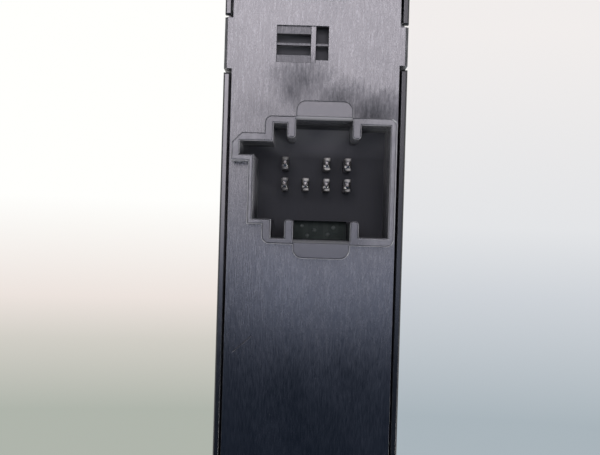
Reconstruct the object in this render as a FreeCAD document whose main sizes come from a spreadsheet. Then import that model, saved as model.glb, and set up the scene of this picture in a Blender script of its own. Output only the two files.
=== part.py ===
"""Power window switch for a car door: a long narrow module with one tilting rocker on top and a
keyed eight way connector socket in the plate that closes its underside.

Frame, in millimetres: +Z is up with the rocker on top, +X runs along the module towards the
connector end, and Z = 0 is the rim of the connector shroud, the lowest point of the module.
"""
import FreeCAD
import Part
import Sketcher
import os
import re

# Driving dimensions. Each is set by itself, and everything else is worked out from them.
SIZES = {
    # Blade terminals: a grid of two rows, along X, by four columns, along Y.
    "pitch": 2.54,
    "blade_long": 1.5,
    "blade_thick": 0.8,
    "blade_bevel": 0.34,
    "blade_land_long": 0.5,
    "blade_land_thick": 0.42,
    "blade_above_board": 0.8,
    "tip_depth": 4.5,
    "blade_fit": 0.05,
    # Connector socket, measured from the middle of the terminal grid.
    "socket_depth": 10.0,
    "socket_floor": 1.2,
    "cavity_left": 7.48,
    "cavity_right": 8.55,
    "cavity_low": 5.64,
    "cavity_high": 3.46,
    "key_reach": 1.67,
    "key_width": 1.58,
    "slot_rise": 2.15,
    "slot_drop": 2.18,
    "right_bay_drop": 1.88,
    "left_slot_width": 1.6,
    "rib_width": 1.04,
    "rib_set_back": 0.5,
    "rib_round": 0.36,
    "left_lean": 0.25,
    "latch_offset": 0.745,
    "latch_width": 6.66,
    "latch_rise": 2.63,
    "latch_drop": 2.3,
    "latch_lead": 0.42,
    # Shroud walls around the socket.
    "side_wall": 0.73,
    "left_wall": 0.58,
    "low_wall": 0.65,
    "slot_top_wall": 0.9,
    "slot_low_wall": 0.74,
    "slot_side_wall": 1.05,
    "key_wall": 0.95,
    "key_top_wall": 1.0,
    "key_low_wall": 0.75,
    "key_chamfer": 1.2,
    "tab_extra": 0.05,
    "tab_high": 2.31,
    "tab_low": 2.25,
    "tab_round": 1.2,
    "shroud_round": 0.9,
    "rim_round": 0.17,
    # Base plate.
    "shroud_proud": 4.5,
    "plate_thick": 1.6,
    "side_clear": 0.445,
    "edge_gap": 0.17,
    "socket_shift": 0.43,
    "socket_to_end": 29.46,
    # Latch window in the base plate, measured from the housing's connector end.
    "window_from_end": 11.57,
    "window_length": 4.47,
    "window_left": 4.81,
    "window_right": 1.47,
    "window_rib": 0.6,
    "window_rib_from_right": 1.53,
    "window_rib_deep": 2.6,
    "window_ledge": 0.95,
    "window_sill": 0.35,
    "window_ledge_sink": 0.5,
    "window_bar": 0.31,
    "window_bar_from_top": 2.0,
    # Snap lugs of the base plate in the notches of the housing's side walls.
    "lug_from_end": 10.8,
    "lug_left_length": 6.2,
    "lug_right_shift": 0.6,
    "lug_right_length": 4.7,
    "lug_high": 5.6,
    "lug_gap": 0.32,
    "notch_high": 6.1,
    "notch_undercut": 1.5,
    "notch_lip": 0.9,
    "lug_break": 0.35,
    # Housing.
    "wall": 0.8,
    "end_thick": 1.2,
    "corner_round": 2.4,
    "edge_break": 0.16,
    # Circuit board.
    "board_lift": 0.8,
    "board_thick": 1.6,
    "board_side_gap": 0.6,
    "board_end_gap": 2.4,
    "post_radius": 2.2,
    "post_from_end": 13.0,
    "screw_radius": 1.0,
    "screw_fit": 0.05,
    "screw_deep": 4.5,
    "screw_head_radius": 1.9,
    "screw_head_high": 1.3,
    "screw_slot": 0.5,
    # Contacts and plungers, with the rocker level.
    "contact_thick": 0.15,
    "contact_size": 1.8,
    "contact_spread": 3.0,
    "contact_gap": 1.15,
    "rivet_radius": 0.45,
    "rivet_long": 2.0,
    "bridge_thick": 0.3,
    "bridge_width": 1.8,
    "bridge_overhang": 0.7,
    "plunger_arm": 8.0,
    "plunger_radius": 1.6,
    "plunger_fit": 0.08,
    "plunger_proud": 1.95,
    "plunger_dome": 0.7,
    "flange_radius": 2.2,
    "flange_thick": 0.8,
    "flange_clear": 1.25,
    "spring_radius": 1.25,
    "spring_wire": 0.17,
    "spring_turns": 3.0,
    # Plunger guide.
    "guide_half_length": 12.0,
    "guide_half_width": 6.4,
    "guide_thick": 2.3,
    "guide_leg": 1.6,
    "guide_to_blades": 1.52,
    # Rocker and its axle.
    "foot_gap": 0.2,
    "foot_radius": 1.5,
    "foot_to_axle": 2.8,
    "axle_radius": 1.0,
    "axle_fit": 0.05,
    "axle_inset": 0.1,
    "rocker_half_length": 13.0,
    "rocker_half_width": 8.2,
    "rocker_shell": 1.3,
    "rocker_skirt": 1.2,
    "rocker_lip": 4.5,
    "rocker_lip_thick": 2.4,
    "rocker_lip_slope": 0.4,
    "rocker_roof": 2.0,
    "rocker_above_bezel": 3.4,
    "rocker_crown": 70.0,
    "rocker_dip": 1.7,
    "rocker_edge": 0.7,
    "rocker_gap": 1.6,
    "rocker_side_gap": 0.4,
    "ear_radius": 2.6,
    "tower_gap": 0.3,
    "tower_half_length": 3.2,
    "tower_below": 4.0,
    "tower_above": 2.2,
    # Lighting.
    "guide_rod_radius": 1.1,
    "guide_rod_place": 3.9,
    "guide_rod_above_axle": 0.5,
    "guide_rod_flange": 0.8,
    "guide_rod_flange_thick": 0.6,
    "led_size": 2.0,
    "led_high": 0.8,
    "led_gap": 0.3,
    "lens_length": 2.6,
    "lens_width": 5.0,
    "lens_fit": 0.05,
    # Bezel.
    "bezel_above_axle": 3.5,
    "bezel_thick": 2.6,
    "bezel_side_flange": 0.95,
    "bezel_end_flange": 3.5,
    "bezel_round": 3.2,
    "bezel_edge": 0.9,
    "bezel_skirt": 1.0,
    "bezel_skirt_high": 1.0,
    "bezel_fit": 0.12,
    "well_length": 14.6,
    "well_wall": 0.9,
    "well_deep": 6.2,
    "well_sill": 3.1,
    "well_round": 1.6,
    "well_to_housing_end": 14.0,
    # Parts on the circuit board.
    "chip_length": 9.0,
    "chip_width": 5.4,
    "chip_high": 1.7,
    "chip_from_end": 22.0,
    "chip_leg": 0.4,
    "chip_leg_reach": 1.1,
    "chip_leg_pitch": 1.27,
    "resistor_length": 2.0,
    "resistor_width": 1.25,
    "resistor_high": 0.55,
    "resistor_pitch": 2.6,
    "capacitor_radius": 2.1,
    "capacitor_high": 5.2,
    "capacitor_from_end": 8.0,
    "capacitor_spread": 5.0,
}
CHIP_LEGS = 6
RESISTORS = 4

doc = FreeCAD.newDocument("window_switch")
sheet = doc.addObject("Spreadsheet::Sheet", "Sizes")
for row, (alias, value) in enumerate(SIZES.items(), start=1):
    sheet.set(f"A{row}", alias.replace("_", " "))
    sheet.set(f"B{row}", str(value))
    sheet.setAlias(f"B{row}", alias)
doc.recompute()


def formula(text):
    """Names the sheet before each driving dimension in a formula."""
    return re.sub(r"[a-z][a-z_]*", lambda word: f"Sizes.{word[0]}" if word[0] in SIZES else word[0], text)


def bind(item, **formulas):
    """Binds properties of an object to formulas; a double underscore stands for a dot."""
    for name, text in formulas.items():
        item.setExpression(name.replace("__", "."), formula(text))


def about(middle, half):
    """A span with the given middle."""
    return f"({middle}) - ({half})", f"({middle}) + ({half})"


def place(item, x, y, z):
    """Binds an object's position."""
    bind(item, Placement__Base__x=x, Placement__Base__y=y, Placement__Base__z=z)


def block(x, y, z, label="block"):
    """A box given by its low and high formula along each axis."""
    item = doc.addObject("Part::Box", label)
    bind(item, Length=f"({x[1]}) - ({x[0]})", Width=f"({y[1]}) - ({y[0]})", Height=f"({z[1]}) - ({z[0]})")
    place(item, x[0], y[0], z[0])
    return item


TURNS = {"Y": FreeCAD.Rotation(FreeCAD.Vector(1, 0, 0), -90),
         "Z": FreeCAD.Rotation()}


def rod(axis, start, radius, length, label="rod"):
    """A cylinder from a start point, running in the positive direction of an axis."""
    item = doc.addObject("Part::Cylinder", label)
    item.Placement = FreeCAD.Placement(FreeCAD.Vector(), TURNS[axis])
    bind(item, Radius=radius, Height=length)
    place(item, *start)
    return item


def join(items, label="join"):
    """One solid from several that meet."""
    if len(items) == 1:
        return items[0]
    item = doc.addObject("Part::MultiFuse", label)
    item.Shapes = items
    item.Refine = True
    return item


def cut(base, tools, label="cut"):
    """What is left of a solid when others are taken away from it."""
    item = doc.addObject("Part::Cut", label)
    item.Base = base
    item.Tool = join(tools, label + "_tools")
    item.Refine = True
    return item


def group(items, label):
    """Several separate solids that share one name."""
    item = doc.addObject("Part::Compound", label)
    item.Links = items
    return item


def ease(kind, base, radius, wanted, label):
    """Rounds or chamfers the edges of a solid that the test picks out."""
    doc.recompute()
    picked = [number for number, edge in enumerate(base.Shape.Edges, start=1) if wanted(edge)]
    if not picked:
        raise ValueError(f"{label}: no edge to ease")
    item = doc.addObject(f"Part::{kind}", label)
    item.Base = base
    item.Edges = [(number, radius, radius) for number in picked]
    return item


NEAR = 1e-4


def number(text):
    """The value of a formula, worked out by the sheet's own engine."""
    return float(sheet.evalExpression(formula(text)))


def upright_at(*corners):
    """Picks the vertical edges that stand at any of the given corners."""
    places = [(number(x), number(y)) for x, y in corners]

    def wanted(edge):
        low, high = edge.BoundBox.ZMin, edge.BoundBox.ZMax
        middle = edge.BoundBox.Center
        flat = edge.BoundBox.XLength < NEAR and edge.BoundBox.YLength < NEAR
        return flat and high > low and any(
            abs(middle.x - x) < NEAR and abs(middle.y - y) < NEAR for x, y in places)
    return wanted


def lying_at(level):
    """Picks the edges that lie flat at one height."""
    height = number(level)
    return lambda edge: abs(edge.BoundBox.ZMin - height) < NEAR and abs(edge.BoundBox.ZMax - height) < NEAR


# Heights, from the connector rim up.
plate_face = "shroud_proud"
plate_back = f"({plate_face} + plate_thick)"
floor_back = "(socket_depth + socket_floor)"
board_low = f"({floor_back} + board_lift)"
board_top = f"({board_low} + board_thick)"
contact_top = f"({board_top} + contact_thick)"
rivet_low = f"({contact_top} + contact_gap)"
bridge_low = f"({rivet_low} + rivet_long)"
flange_low = f"({bridge_low} + bridge_thick)"
flange_top = f"({flange_low} + flange_thick)"
guide_low = f"({flange_top} + flange_clear)"
guide_top = f"({guide_low} + guide_thick)"
plunger_top = f"({guide_top} + plunger_proud)"
foot_low = f"({plunger_top} + foot_gap)"
axle_level = f"({foot_low} + foot_to_axle)"
bezel_low = f"({axle_level} + bezel_above_axle)"
bezel_top = f"({bezel_low} + bezel_thick)"
skirt_low = f"({axle_level} + rocker_skirt)"
crown_top = f"({bezel_top} + rocker_above_bezel)"

# Places along the module. The rocker's axle and the socket follow each other, and the housing is
# as long as the finger well, the rocker, the socket and the margins at its two ends.
rocker_to_socket = "(guide_half_length + guide_to_blades + pitch / 2 + blade_long / 2)"
well_reach = "(rocker_half_length + rocker_gap + well_wall + well_length)"
housing_length = f"({well_reach} + well_wall + well_to_housing_end + {rocker_to_socket} + socket_to_end)"
east = f"({housing_length} / 2)"
west = f"(-{housing_length} / 2)"
socket_x = f"({east} - socket_to_end)"
socket_y = "socket_shift"
rocker_x = f"({socket_x} - {rocker_to_socket})"

# Widths. The plate is wide enough for the socket shroud, and the housing fits round the plate.
plate_half = "(socket_shift + cavity_right + side_wall + side_clear)"
inner_half = f"({plate_half} + edge_gap)"
housing_half = f"({inner_half} + wall)"
inner_east = f"({east} - end_thick)"
inner_west = f"({west} + end_thick)"

# Outline of the socket, as lines at right angles.
sock_left = f"({socket_y} - cavity_left)"
sock_right = f"({socket_y} + cavity_right)"
sock_low = f"({socket_x} - cavity_low)"
sock_high = f"({socket_x} + cavity_high)"
latch_left = f"({socket_y} + latch_offset - latch_width / 2)"
latch_right = f"({socket_y} + latch_offset + latch_width / 2)"
left_slot_right = f"({latch_left} - rib_width)"
left_slot_left = f"({left_slot_right} - left_slot_width)"
right_slot_left = f"({latch_right} + rib_width)"
slot_top = f"({sock_high} + slot_rise)"
slot_bottom = f"({sock_low} - slot_drop)"
right_bay_bottom = f"({sock_low} - right_bay_drop)"
rib_end = f"({sock_high} + rib_set_back)"
latch_top = f"({sock_high} + latch_rise)"
latch_bottom = f"({sock_low} - latch_drop)"
key_left = f"({sock_left} - key_reach)"
key_bottom = f"({sock_high} - key_width)"

screw_places = [(f"({inner_west} + post_from_end)", "0"),
                (f"({inner_east} - post_from_end / 2)", f"({inner_half} / 2)")]


def blade_places():
    """Middles of the seven terminals: one place of the eight way grid is empty."""
    for line in (0.5, -0.5):
        for column in (-1.5, -0.5, 0.5, 1.5):
            if (line, column) != (0.5, -0.5):
                yield f"({socket_x} + ({line}) * pitch)", f"({socket_y} + ({column}) * pitch)"


def cavity(low, high, label):
    """The room inside the socket between two heights, with rounded ends on the ribs that reach into it."""
    span = (low, high)
    rooms = [
        block((sock_low, rib_end), (left_slot_left, sock_right), span),
        block((sock_low, sock_high), (sock_left, sock_right), span),
        block((key_bottom, sock_high), (key_left, sock_left), span),
        block((slot_bottom, slot_top), (left_slot_left, left_slot_right), span),
        block((right_bay_bottom, slot_top), (right_slot_left, sock_right), span),
        block((latch_bottom, latch_top), (latch_left, latch_right), span),
    ]
    rib_sides = (left_slot_right, latch_left, latch_right, right_slot_left)
    corners = [(x, y) for x in (rib_end, sock_low) for y in rib_sides]
    return ease("Fillet", join(rooms, f"{label}_rooms"), SIZES["rib_round"], upright_at(*corners), label)


def wedge(turn, label, **ends):
    """A block that narrows along its own Y, turned about X."""
    item = doc.addObject("Part::Wedge", label)
    item.Placement = FreeCAD.Placement(FreeCAD.Vector(), FreeCAD.Rotation(FreeCAD.Vector(1, 0, 0), turn))
    bind(item, **ends)
    return item


def left_slope():
    """Wedge that makes the cavity's left wall lean inwards towards the floor."""
    run = f"{key_bottom} - {sock_low}"
    slope = wedge(-90, "left_slope", Xmin="0", Xmax=run, Zmin="0", Zmax="left_lean",
                  X2min="0", X2max=run, Z2min="0", Z2max="0", Ymin="0", Ymax="socket_depth")
    place(slope, sock_low, sock_left, "socket_depth")
    return slope


def latch_ramps():
    """What is cut from the rim at both ends of the latch window, so that the plug's latch slides in."""
    ramps = []
    for start, inner in ((latch_top, "0"), (f"({latch_bottom} - latch_lead)", "latch_lead")):
        ramp = wedge(90, "latch_ramp", Xmin="0", Xmax="latch_lead", Zmin="0", Zmax="latch_width",
                     X2min=inner, X2max=inner, Z2min="0", Z2max="latch_width", Ymin="0", Ymax="latch_lead")
        place(ramp, start, latch_right, "0")
        ramps.append(ramp)
    return ramps


def shroud():
    """The solid block of the connector, with its keyed cavity and the open latch window."""
    rim, back = "0", floor_back
    tab_left = f"({latch_left} - tab_extra)"
    tab_right = f"({latch_right} + tab_extra)"
    tab_top = f"({latch_top} + tab_high)"
    tab_bottom = f"({latch_bottom} - tab_low)"
    outer_right = f"({sock_right} + side_wall)"
    outer_top = f"({slot_top} + slot_top_wall)"
    outer_bottom = f"({slot_bottom} - slot_low_wall)"
    slots_left = f"({left_slot_left} - slot_side_wall)"
    key_out = f"({key_left} - key_wall)"
    key_top = f"({sock_high} + key_top_wall)"
    walls = [
        block((f"{sock_low} - low_wall", sock_high), (f"{sock_left} - left_wall", outer_right),
              (rim, back)),
        block((outer_bottom, outer_top), (slots_left, outer_right), (rim, back)),
        block((tab_bottom, tab_top), (tab_left, tab_right), (rim, back)),
        block((f"{key_bottom} - key_low_wall", key_top), (key_out, slots_left), (rim, back)),
    ]
    solid = join(walls, "shroud_walls")
    solid = ease("Fillet", solid, SIZES["tab_round"],
                 upright_at((tab_top, tab_left), (tab_top, tab_right),
                            (tab_bottom, tab_left), (tab_bottom, tab_right)), "shroud_tabs")
    solid = ease("Fillet", solid, SIZES["shroud_round"],
                 upright_at((outer_top, outer_right), (outer_bottom, outer_right),
                            (outer_top, slots_left), (outer_bottom, slots_left)), "shroud_corners")
    solid = ease("Chamfer", solid, SIZES["key_chamfer"], upright_at((key_top, key_out)), "shroud_key")
    floor = "socket_depth"
    latch_window = block((latch_bottom, sock_low), (latch_left, latch_right), (floor, back))
    solid = cut(solid, [cavity(rim, floor, "socket_room"), latch_window], "shroud_open")
    solid = ease("Fillet", solid, SIZES["rim_round"], lying_at(rim), "shroud_rim")
    return cut(join([solid, left_slope()], "shroud_leaning"), latch_ramps(), "shroud")


def lug_span(side):
    """Ends along X of the snap lug on one side."""
    high = f"({east} - lug_from_end)" if side < 0 else f"({east} - lug_from_end - lug_right_shift)"
    long = "lug_left_length" if side < 0 else "lug_right_length"
    return f"({high} - {long})", high


def across(side, near, far):
    """A span along Y on one side of the middle, low value first."""
    return (near, far) if side > 0 else (f"-({far})", f"-({near})")


def base_plate():
    """Plate under the housing with the connector shroud, the snap lugs and the latch window."""
    plate = block((f"{inner_west} + edge_gap", f"{inner_east} - edge_gap"),
                  (f"-{plate_half}", plate_half), (plate_face, plate_back), "plate_blank")
    lugs = []
    for side in (-1, 1):
        span = lug_span(side)
        lug = block(span, across(side, f"{plate_half} - plate_thick", housing_half),
                    (plate_face, f"{plate_face} + lug_high"), "lug_blank")
        outer = side * number(housing_half)
        face = number(plate_face)

        def outer_edge(edge, outer=outer, face=face):
            box = edge.BoundBox
            flush = abs(box.YMin - outer) < NEAR and abs(box.YMax - outer) < NEAR
            return flush and abs(box.ZMax - face) < NEAR
        lugs.append(ease("Chamfer", lug, SIZES["lug_break"], outer_edge, "lug"))
    posts = [rod("Z", (x, y, plate_back), "post_radius", f"{board_low} - {plate_back}", "post")
             for x, y in screw_places]
    high = f"({east} - window_from_end)"
    low = f"({high} - window_length)"
    rib_right = "(window_right - window_rib_from_right)"
    rib_left = f"({rib_right} - window_rib)"
    bar_top = f"({high} - window_bar_from_top)"
    deep = f"({plate_face} + window_rib_deep)"
    window = [
        block((f"{low} + window_ledge", f"{high} - window_ledge"), ("-window_left", "window_right"),
              (plate_face, plate_back)),
        block((f"{low} + window_sill", high), (rib_right, "window_right"), (plate_face, plate_back)),
        block((low, high), ("-window_left", rib_right),
              (plate_face, f"{plate_face} + window_ledge_sink")),
    ]
    bars = [
        block((low, high), (rib_left, rib_right), (f"{plate_face} + window_ledge_sink / 2", deep)),
        block((f"{bar_top} - window_bar", bar_top), ("-window_left", "window_right"),
              (f"{plate_face} + plate_thick / 2", plate_back)),
    ]
    solid = cut(join([plate] + lugs + posts, "plate_body"), window, "plate_window")
    socket_hole = block((f"{sock_low} - low_wall / 2", sock_high), (sock_left, sock_right),
                        (plate_face, plate_back), "plate_socket_hole")
    solid = cut(solid, [socket_hole] + [
        rod("Z", (x, y, f"{board_low} - screw_deep"), "screw_radius + screw_fit", "screw_deep", "pilot")
        for x, y in screw_places], "plate_drilled")
    mouth = cut(solid, [cavity(plate_face, plate_back, "plate_room")], "plate_mouth")
    solid = join([mouth, shroud()] + bars, "plate_with_shroud")
    slots = [blade_hole(x, y, "socket_depth", floor_back) for x, y in blade_places()]
    return cut(solid, slots, "base_plate")


def blade_hole(x, y, low, high):
    """A slot that a terminal passes through."""
    long = "(blade_long / 2 + blade_fit)"
    thick = "(blade_thick / 2 + blade_fit)"
    return block(about(x, long), about(y, thick), (low, high), "blade_hole")


def terminal(order, x, y):
    """A flat blade with a bevelled tip that points down."""
    shank_low = "(tip_depth + blade_bevel)"
    shank = block(about(x, "blade_long / 2"), about(y, "blade_thick / 2"),
                  (shank_low, f"{board_top} + blade_above_board"), "shank")
    tip = wedge(-90, "tip", Xmin="-blade_long / 2", Xmax="blade_long / 2",
                Zmin="-blade_thick / 2", Zmax="blade_thick / 2",
                X2min="-blade_land_long / 2", X2max="blade_land_long / 2",
                Z2min="-blade_land_thick / 2", Z2max="blade_land_thick / 2", Ymin="0", Ymax="blade_bevel")
    place(tip, x, y, shank_low)
    return join([shank, tip], f"terminal_{order}")


def housing():
    """Open tube of four walls, with the notches for the lugs and the towers that hold the axle."""
    tall = (plate_face, bezel_low)
    outer = block((west, east), about("0", housing_half), tall, "housing_blank")
    outer = ease("Fillet", outer, SIZES["corner_round"], upright_at(
        *[(x, y) for x in (west, east) for y in (housing_half, f"-{housing_half}")]), "housing_outer")
    inner = block((inner_west, inner_east), about("0", inner_half), tall, "housing_room")
    tower_low = f"({axle_level} - tower_below)"
    towers = [block(about(rocker_x, "tower_half_length"),
                    across(side, "rocker_half_width + tower_gap", f"{inner_half} + wall / 2"),
                    (tower_low, f"{axle_level} + tower_above"), "tower") for side in (-1, 1)]
    solid = join([cut(outer, [inner], "housing_walls")] + towers, "housing_with_towers")
    bore = rod("Y", (rocker_x, f"-{housing_half}", axle_level), "axle_radius + axle_fit",
               f"2 * {housing_half}", "axle_bore")
    notches = []
    for side in (-1, 1):
        low, high = lug_span(side)
        open_span = (f"{low} - lug_gap - edge_gap", f"{high} + lug_gap")
        through = across(side, f"{inner_half} - edge_gap", housing_half)
        notches.append(block(open_span, through, (plate_face, f"{plate_face} + notch_high"), "notch"))
        notches.append(block((open_span[0], f"{high} + lug_gap + notch_undercut"), through,
                             (f"{plate_face} + notch_lip", f"{plate_face} + notch_high"), "notch_undercut"))
    solid = cut(solid, [bore] + notches, "housing_cut")
    return ease("Chamfer", solid, SIZES["edge_break"], lying_at(plate_face), "housing")


def circuit_board():
    """Board that carries the terminals, the contacts, the chip and the lamp."""
    blank = block((f"{inner_west} + board_end_gap", f"{inner_east} - board_end_gap"),
                  (f"-{inner_half} + board_side_gap", f"{inner_half} - board_side_gap"),
                  (board_low, board_top), "board_blank")
    holes = [blade_hole(x, y, board_low, board_top) for x, y in blade_places()]
    holes += [rod("Z", (x, y, board_low), "screw_radius + screw_fit", "board_thick", "board_hole")
              for x, y in screw_places]
    return cut(blank, holes, "circuit_board")


def terminal_block():
    """Strip between the socket floor and the board that keeps the terminals in line."""
    half_x = "(pitch / 2 + blade_long / 2 + wall)"
    half_y = "(1.5 * pitch + blade_thick / 2 + wall)"
    blank = block(about(socket_x, half_x), about(socket_y, half_y), (floor_back, board_low), "comb_blank")
    holes = [blade_hole(x, y, floor_back, board_low) for x, y in blade_places()]
    return cut(blank, holes, "terminal_block")


def board_screws():
    """Two cross head screws that hold the board on the posts of the base plate."""
    screws = []
    for x, y in screw_places:
        shank = rod("Z", (x, y, f"{board_low} - screw_deep + screw_fit"), "screw_radius",
                    "board_thick + screw_deep - screw_fit", "screw_shank")
        head = rod("Z", (x, y, board_top), "screw_head_radius", "screw_head_high", "screw_head")
        top = f"({board_top} + screw_head_high)"
        sunk = (f"{top} - screw_slot", top)
        arm = "screw_head_radius * 0.6"
        cross = [block(about(x, arm), about(y, "screw_slot / 2"), sunk),
                 block(about(x, "screw_slot / 2"), about(y, arm), sunk)]
        screws.append(cut(join([shank, head], "screw_body"), cross, "screw"))
    return group(screws, "board_screws")


def plunger_guide():
    """Table on the board with two bores for the plungers and one for the light guide."""
    reach = ("guide_half_length", "guide_half_width")
    table = block(about(rocker_x, reach[0]), about("0", reach[1]), (guide_low, guide_top), "guide_table")
    legs = []
    for along in (-1, 1):
        for side in (-1, 1):
            near, far = f"{reach[0]} - guide_leg", reach[0]
            span = (f"{rocker_x} + {near}", f"{rocker_x} + {far}") if along > 0 else \
                (f"{rocker_x} - {far}", f"{rocker_x} - ({near})")
            legs.append(block(span, across(side, f"{reach[1]} - guide_leg", reach[1]),
                              (board_top, guide_low), "guide_leg"))
    bores = [rod("Z", (f"{rocker_x} + ({along}) * plunger_arm", "0", guide_low),
                 "plunger_radius + plunger_fit", "guide_thick", "plunger_bore") for along in (-1, 1)]
    bores.append(rod("Z", (f"{rocker_x} + guide_rod_place", "0", guide_low),
                     "guide_rod_radius + plunger_fit", "guide_thick", "light_bore"))
    return cut(join([table] + legs, "guide_body"), bores, "plunger_guide")


def plunger(along, name):
    """Pin with a domed head that a foot of the rocker presses down."""
    x = f"({rocker_x} + ({along}) * plunger_arm)"
    flange = rod("Z", (x, "0", flange_low), "flange_radius", "flange_thick", "flange")
    stem = rod("Z", (x, "0", flange_low), "plunger_radius", f"{plunger_top} - {flange_low}", "stem")
    body = join([flange, stem], "plunger_body")
    top = number(plunger_top)
    return ease("Fillet", body, SIZES["plunger_dome"],
                lambda edge: abs(edge.BoundBox.ZMin - top) < NEAR, name)


def contact_bridge(along, name):
    """Brass strip under a plunger, with a contact rivet at each end."""
    x = f"({rocker_x} + ({along}) * plunger_arm)"
    half = "(contact_spread + bridge_overhang)"
    strip = block(about(x, "bridge_width / 2"), about("0", half), (bridge_low, flange_low), "strip")
    rivets = [rod("Z", (x, f"({side}) * contact_spread", rivet_low), "rivet_radius",
                  "rivet_long + bridge_thick / 2", "rivet") for side in (-1, 1)]
    return join([strip] + rivets, name)


def fixed_contacts(along, name):
    """The two pads on the board that a bridge joins."""
    x = f"({rocker_x} + ({along}) * plunger_arm)"
    half = "contact_size / 2"
    return group([block(about(x, half), about(f"({side}) * contact_spread", half),
                        (board_top, contact_top), "pad") for side in (-1, 1)], name)


def plunger_spring(along, name):
    """Coil spring between the board and a contact bridge."""
    x = f"({rocker_x} + ({along}) * plunger_arm)"
    coil = f"({bridge_low} - {board_top} - 2 * spring_wire)"
    line = doc.addObject("Part::Helix", "coil_line")
    line.SegmentLength = 1
    bind(line, Radius="spring_radius", Height=coil, Pitch=f"{coil} / spring_turns")
    place(line, x, "0", f"{board_top} + spring_wire")
    wire = doc.addObject("Part::Circle", "coil_wire")
    wire.Placement = FreeCAD.Placement(FreeCAD.Vector(), FreeCAD.Rotation(FreeCAD.Vector(1, 0, 0), 90))
    bind(wire, Radius="spring_wire")
    place(wire, f"{x} + spring_radius", "0", f"{board_top} + spring_wire")
    doc.recompute()
    spring = doc.addObject("Part::Sweep", name)
    spring.Sections = [wire]
    spring.Spine = (line, [f"Edge{order}" for order in range(1, len(line.Shape.Edges) + 1)])
    spring.Solid = True
    spring.Frenet = True
    return spring


def rocker_profile():
    """Side outline of the rocker as a padded sketch: flat skirt, finger lip and hollowed top."""
    body = doc.addObject("PartDesign::Body", "rocker_profile")
    sketch = body.newObject("Sketcher::SketchObject", "rocker_outline")
    plane = [item for item in body.Origin.OriginFeatures if item.Role == "XZ_Plane"][0]
    sketch.AttachmentSupport = (plane, [""])
    sketch.MapMode = "FlatFace"
    full = "(2 * rocker_half_length + rocker_lip)"
    top = f"({crown_top} - {skirt_low})"
    lip_top = f"({top} - rocker_lip_slope)"
    lip_low = f"({lip_top} - rocker_lip_thick)"
    outline = [("rocker_lip", "0"), (full, "0"), (full, top), ("0", lip_top), ("0", lip_low),
               ("rocker_lip", f"({lip_low} - rocker_lip_slope)")]
    spots = [FreeCAD.Vector(number(x), number(y), 0) for x, y in outline]
    count = len(spots)
    crown = outline.index((full, top))
    for index in range(count):
        start, end = spots[index], spots[(index + 1) % count]
        if index == crown:
            middle = (start + end) * 0.5 - FreeCAD.Vector(0, SIZES["rocker_dip"], 0)
            sketch.addGeometry(Part.Arc(end, middle, start), False)
        else:
            sketch.addGeometry(Part.LineSegment(start, end), False)
    # A sketch's arc runs anticlockwise, so the hollow top starts at the arc's second point.
    first = {index: 1 for index in range(count)}
    first[crown] = 2
    for index in range(count):
        follower = (index + 1) % count
        sketch.addConstraint(Sketcher.Constraint(
            "Coincident", index, 3 - first[index], follower, first[follower]))
    for index, (x, y) in enumerate(outline):
        for kind, text in (("DistanceX", x), ("DistanceY", y)):
            if text == "0":
                axis = -2 if kind == "DistanceX" else -1
                sketch.addConstraint(Sketcher.Constraint("PointOnObject", index, first[index], axis))
                continue
            tie = Sketcher.Constraint(kind, -1, 1, index, first[index], number(text))
            order = sketch.addConstraint(tie)
            sketch.setExpression(f"Constraints[{order}]", formula(text))
    order = sketch.addConstraint(Sketcher.Constraint("Radius", crown, number("rocker_crown")))
    sketch.setExpression(f"Constraints[{order}]", formula("rocker_crown"))
    pad = body.newObject("PartDesign::Pad", "rocker_pad")
    pad.Profile = sketch
    pad.SideType = "Symmetric"
    pad.setExpression("Length", formula("2 * rocker_half_width"))
    place(body, f"{rocker_x} - rocker_half_length - rocker_lip", "0", skirt_low)
    doc.recompute()
    return body


def rocker():
    """Button cap: a shell with ears on the axle, a foot over each plunger and a seat for the lens."""
    cap = rocker_profile()
    top = number(f"{crown_top} - rocker_lip_thick")
    lip = number(f"{rocker_x} - rocker_half_length - rocker_lip")

    def edge_of_top(edge):
        box = edge.BoundBox
        along = box.XLength > 5 and box.ZMin > top
        across_top = box.YLength > 5 and box.ZMin > top
        return along or across_top or (box.YLength > 5 and abs(box.XMax - lip) < NEAR)
    cap = ease("Fillet", cap, SIZES["rocker_edge"], edge_of_top, "rocker_cap")
    roof = f"({crown_top} - rocker_roof - rocker_dip)"
    half_x = "(rocker_half_length - rocker_shell)"
    half_y = "(rocker_half_width - rocker_shell)"
    room = block(about(rocker_x, half_x), about("0", half_y), (skirt_low, roof), "rocker_room")
    shell = cut(cap, [room], "rocker_shell")
    ears = []
    for side in (-1, 1):
        low, high = across(side, half_y, "rocker_half_width")
        ears.append(rod("Y", (rocker_x, low, axle_level), "ear_radius", "rocker_shell", "ear"))
        ears.append(block(about(rocker_x, "ear_radius"), (low, high),
                          (axle_level, f"{skirt_low} + rocker_shell"), "ear_web"))
    feet = [rod("Z", (f"{rocker_x} + ({along}) * plunger_arm", "0", foot_low), "foot_radius",
                f"{roof} + rocker_shell / 2 - {foot_low}", "foot") for along in (-1, 1)]
    ribs = [block(about(f"{rocker_x} + ({along}) * plunger_arm", "rocker_shell / 2"),
                  about("0", f"{half_y} + rocker_shell / 2"),
                  (f"{roof} - rocker_shell", f"{roof} + rocker_shell / 2"), "rib") for along in (-1, 1)]
    bore = rod("Y", (rocker_x, "-rocker_half_width", axle_level), "axle_radius + axle_fit",
               "2 * rocker_half_width", "rocker_bore")
    lens_hole = block(*lens_span("lens_fit"), (roof, f"{crown_top} + rocker_dip"), "lens_hole")
    return cut(join([shell] + ears + feet + ribs, "rocker_body"), [bore, lens_hole], "rocker")


def lens_span(gap):
    """Length and width of the lens, with a gap all round."""
    return about(lens_x, f"lens_length / 2 + {gap}"), about("0", f"lens_width / 2 + {gap}")


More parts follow.
